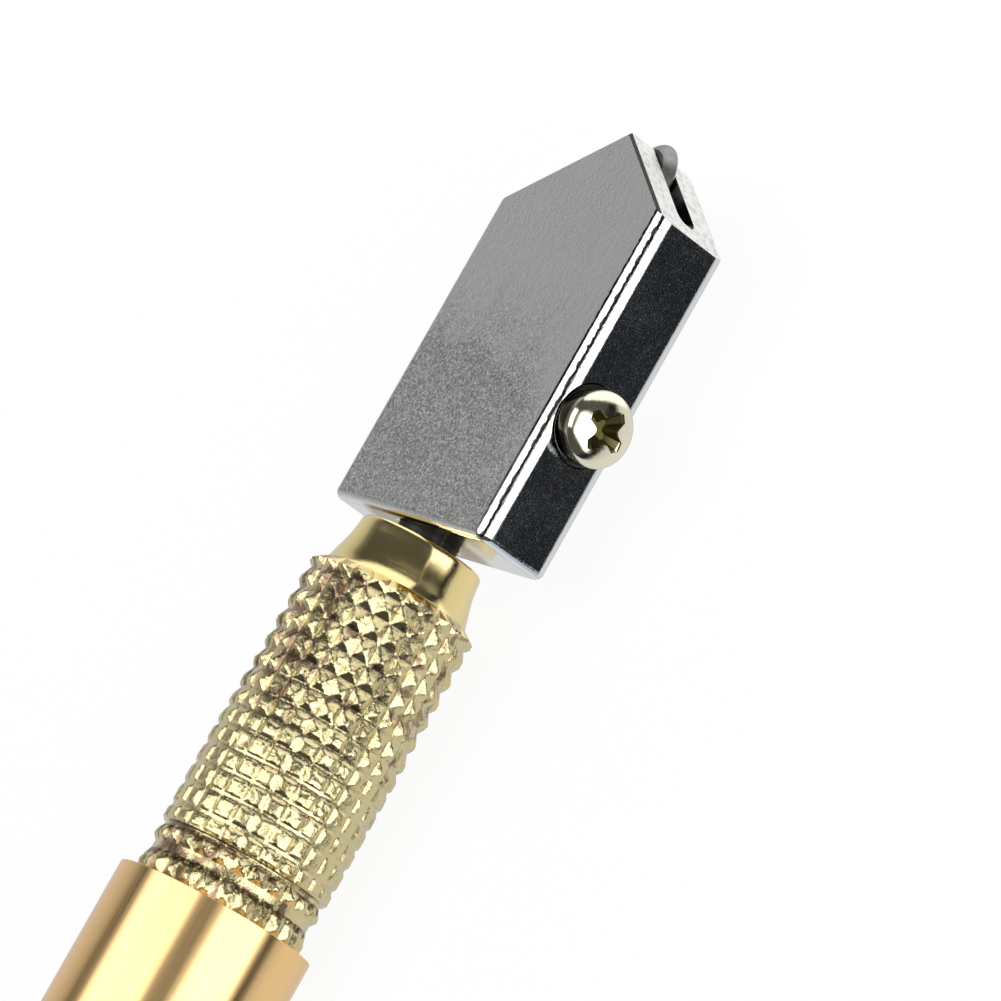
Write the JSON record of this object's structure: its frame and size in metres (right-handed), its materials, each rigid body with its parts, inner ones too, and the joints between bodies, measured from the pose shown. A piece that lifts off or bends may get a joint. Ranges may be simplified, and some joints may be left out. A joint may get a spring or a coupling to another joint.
{
  "type": "glass cutter",
  "caption": "Pencil-style oil-fed glass cutter: a wide flat head with a pointed nose and a hard-metal wheel swivels on a sprung stem in a knurled brass grip and tube handle.",
  "frame": {"origin": "middle of the part's box, on the surface that the handle tube lies on", "axes": "+X runs along the handle to the cutting wheel, +Z is the normal of the head's broad faces, and the head's lock screw looks along -Y"},
  "size_m": [0.175, 0.0182, 0.013],
  "materials": {
    "head_metal": "bright nickel plating over a satin die casting",
    "carbide": "ground tungsten carbide",
    "pin_steel": "ground steel",
    "screw_brass": "bright pale brass plating",
    "felt": "pressed felt",
    "cotton": "twisted cotton",
    "stem_steel": "turned steel",
    "spring_steel": "drawn wire",
    "rubber": "nitrile rubber",
    "grip_brass": "bright knurled brass",
    "seat_brass": "turned brass",
    "cap_brass": "bright turned brass",
    "tube_rose_gold": "polished rose-gold plating"
  },
  "bodies": {
    "handle": {"handle_tube": "tube_rose_gold", "knurled_grip": "grip_brass", "grip_o_ring": "rubber", "stem_seal": "rubber", "spring_seat": "seat_brass", "valve_spring": "spring_steel", "rear_bush": "seat_brass"},
    "plunger": {"oil_stem": "stem_steel", "stem_clip": "spring_steel", "valve_seal": "rubber", "stem_wick": "cotton"},
    "head": {"head_shell": "head_metal", "wheel_axle": "pin_steel", "head_wick": "felt"},
    "wheel": {"cutting_wheel": "carbide"},
    "screw": {"head_screw": "screw_brass"},
    "cap": {"filler_cap": "cap_brass", "cap_o_ring": "rubber"}
  },
  "joints": [
    {"name": "plunger_slide", "type": "slide", "parent": "handle", "child": "plunger", "axis": [-1, 0, 0], "range_m": [0, 0.0006], "stiffness_N_per_m": 1000, "springref_m": -0.002, "deforming": ["valve_spring"]},
    {"name": "head_swivel", "type": "hinge", "parent": "plunger", "child": "head", "pos_m": [0.05935, 0.0019, 0.0065], "axis": [1, 0, 0], "range_deg": [-10, 10]},
    {"name": "wheel_spin", "type": "hinge", "parent": "head", "child": "wheel", "pos_m": [0.08525, 0.0003, 0.0065], "axis": [0, 0, 1], "continuous": true},
    {"name": "screw_turn", "type": "hinge", "parent": "head", "child": "screw", "pos_m": [0.0688, -0.0069, 0.0065], "axis": [0, -1, 0], "range_deg": [0, 270]},
    {"name": "cap_unscrew", "type": "slide", "parent": "handle", "child": "cap", "axis": [-1, 0, 0], "range_m": [0, 0.02]}
  ]
}
